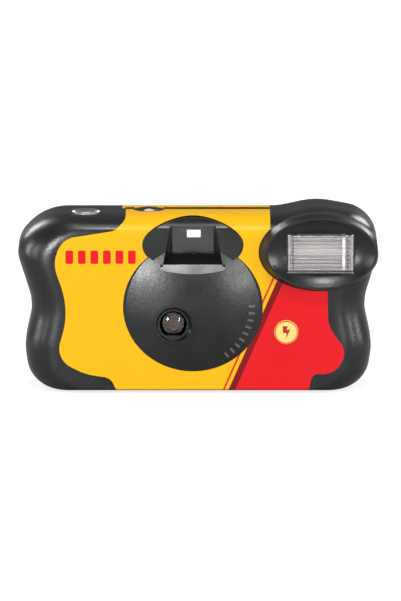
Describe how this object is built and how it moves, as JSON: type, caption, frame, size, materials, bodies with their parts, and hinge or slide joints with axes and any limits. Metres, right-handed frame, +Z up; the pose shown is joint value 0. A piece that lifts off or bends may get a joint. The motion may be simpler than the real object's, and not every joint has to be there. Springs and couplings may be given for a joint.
{
  "type": "disposable film camera",
  "caption": "Single-use 35 mm film camera with a fixed lens, flash, optical viewfinder, thumb wheel advance and a waisted grip body.",
  "frame": {"origin": "middle of the bounding box at the floor face that the camera stands on", "axes": "+X to the right as seen from the front, +Y from the lens towards the back, +Z up"},
  "size_m": [0.1154, 0.0361, 0.0591],
  "materials": {
    "black_plastic": "fine spark-eroded texture, satin",
    "printed_sticker": "laminated print, yellow field with a red block",
    "frame_plastic": "matt black moulding",
    "grey_plastic": "plain grey moulding",
    "clear_plastic": "clear acrylic, polished",
    "bright_metal": "polished foil",
    "tube_glass": "clear glass",
    "plated_metal": "nickel plated spring sheet",
    "film": "unexposed film base",
    "cartridge_print": "plain printed sheet",
    "felt": "black plush",
    "cap_metal": "black lacquer",
    "spring_steel": "drawn spring wire",
    "cell_jacket": "plain jacket",
    "board": "phenolic board",
    "capacitor_sleeve": "shrunk sleeve",
    "ferrite": "sintered ferrite",
    "epoxy": "moulded epoxy",
    "silver_plastic": "silver-grey moulding",
    "button_print": "light yellow with a red ring",
    "dial_print": "white dial with plain marks"
  },
  "bodies": {
    "case": {"front_cover": "black_plastic", "rear_cover": "black_plastic", "front_label": "printed_sticker", "rear_label": "printed_sticker", "chassis": "frame_plastic", "keeper_plate": "grey_plastic", "taking_lens": "clear_plastic", "lens_retainer": "black_plastic", "viewfinder_front_lens": "clear_plastic", "viewfinder_eyepiece": "clear_plastic", "counter_window": "clear_plastic", "flash_window": "clear_plastic", "flash_reflector": "bright_metal", "flash_tube": "tube_glass", "flash_tube_caps": "plated_metal", "film_strip": "film", "cartridge_shell": "cartridge_print", "cartridge_felt": "felt", "cartridge_caps": "cap_metal", "shutter_cover": "black_plastic", "striker_spring": "spring_steel", "shutter_spring": "spring_steel", "battery": "cell_jacket", "battery_contact_negative": "plated_metal", "battery_contact_positive": "plated_metal", "circuit_board": "board", "flash_capacitor": "capacitor_sleeve", "flash_transformer": "ferrite", "power_transistor": "epoxy", "small_components": "epoxy", "sync_contact": "plated_metal", "ready_lamp": "tube_glass", "light_pipe": "clear_plastic"},
    "release": {"shutter_button": "silver_plastic"},
    "charge_button": {"flash_button": "button_print"},
    "winder": {"thumbwheel": "black_plastic", "cartridge_spool": "grey_plastic"},
    "supply": {"supply_spool": "grey_plastic", "film_roll": "film"},
    "sprocket": {"sprocket": "grey_plastic"},
    "dial": {"counter_dial": "dial_print"},
    "latch": {"latch_lever": "grey_plastic"},
    "blade": {"shutter_blade": "plated_metal"},
    "striker": {"striker_lever": "plated_metal"},
    "floor_door": {"cartridge_door": "black_plastic"}
  },
  "joints": [
    {"name": "release_press", "type": "slide", "parent": "case", "child": "release", "axis": [0, 0, -1], "range_m": [0, 0.0012], "stiffness_N_per_m": 900, "springref_m": -0.0006},
    {"name": "flash_charge_press", "type": "slide", "parent": "case", "child": "charge_button", "axis": [0, 1, 0], "range_m": [0, 0.0008], "stiffness_N_per_m": 900, "springref_m": -0.0005},
    {"name": "film_wind", "type": "hinge", "parent": "case", "child": "winder", "pos_m": [-0.0372, 0.0026, 0.0451], "axis": [0, 0, 1], "continuous": true},
    {"name": "sprocket_turn", "type": "hinge", "parent": "case", "child": "sprocket", "pos_m": [-0.0125, 0.00515, 0.0375], "axis": [0, 0, 1], "continuous": true},
    {"name": "supply_turn", "type": "hinge", "parent": "case", "child": "supply", "pos_m": [0.0275, 0.0056, 0.0236], "axis": [0, 0, 1], "continuous": true},
    {"name": "dial_turn", "type": "hinge", "parent": "case", "child": "dial", "pos_m": [-0.0212, -0.0002, 0.0512], "axis": [0, 0, 1], "continuous": true},
    {"name": "latch_swing", "type": "hinge", "parent": "case", "child": "latch", "pos_m": [-0.0205, -0.0098, 0.0464], "axis": [0, 0, 1], "range_deg": [0, 12], "stiffness_Nm_per_rad": 0.0005, "springref_deg": -2.86},
    {"name": "blade_swing", "type": "hinge", "parent": "case", "child": "blade", "pos_m": [-0.0004, -0.0114, 0.0226], "axis": [0, 1, 0], "range_deg": [0, 42], "stiffness_Nm_per_rad": 0.0005, "springref_deg": -11.46},
    {"name": "striker_swing", "type": "hinge", "parent": "case", "child": "striker", "pos_m": [-0.0152, -0.012, 0.0295], "axis": [0, 1, 0], "range_deg": [0, 35], "stiffness_Nm_per_rad": 0.0005, "springref_deg": -11.46},
    {"name": "floor_door_swing", "type": "hinge", "parent": "case", "child": "floor_door", "pos_m": [-0.0252, 0.00235, 0.0006], "axis": [0, -1, 0], "range_deg": [0, 95]}
  ],
  "couplings": [
    {"joint": "sprocket_turn", "follows": "film_wind", "ratio": 1},
    {"joint": "supply_turn", "follows": "film_wind", "ratio": 0.62},
    {"joint": "dial_turn", "follows": "film_wind", "ratio": -0.025}
  ]
}
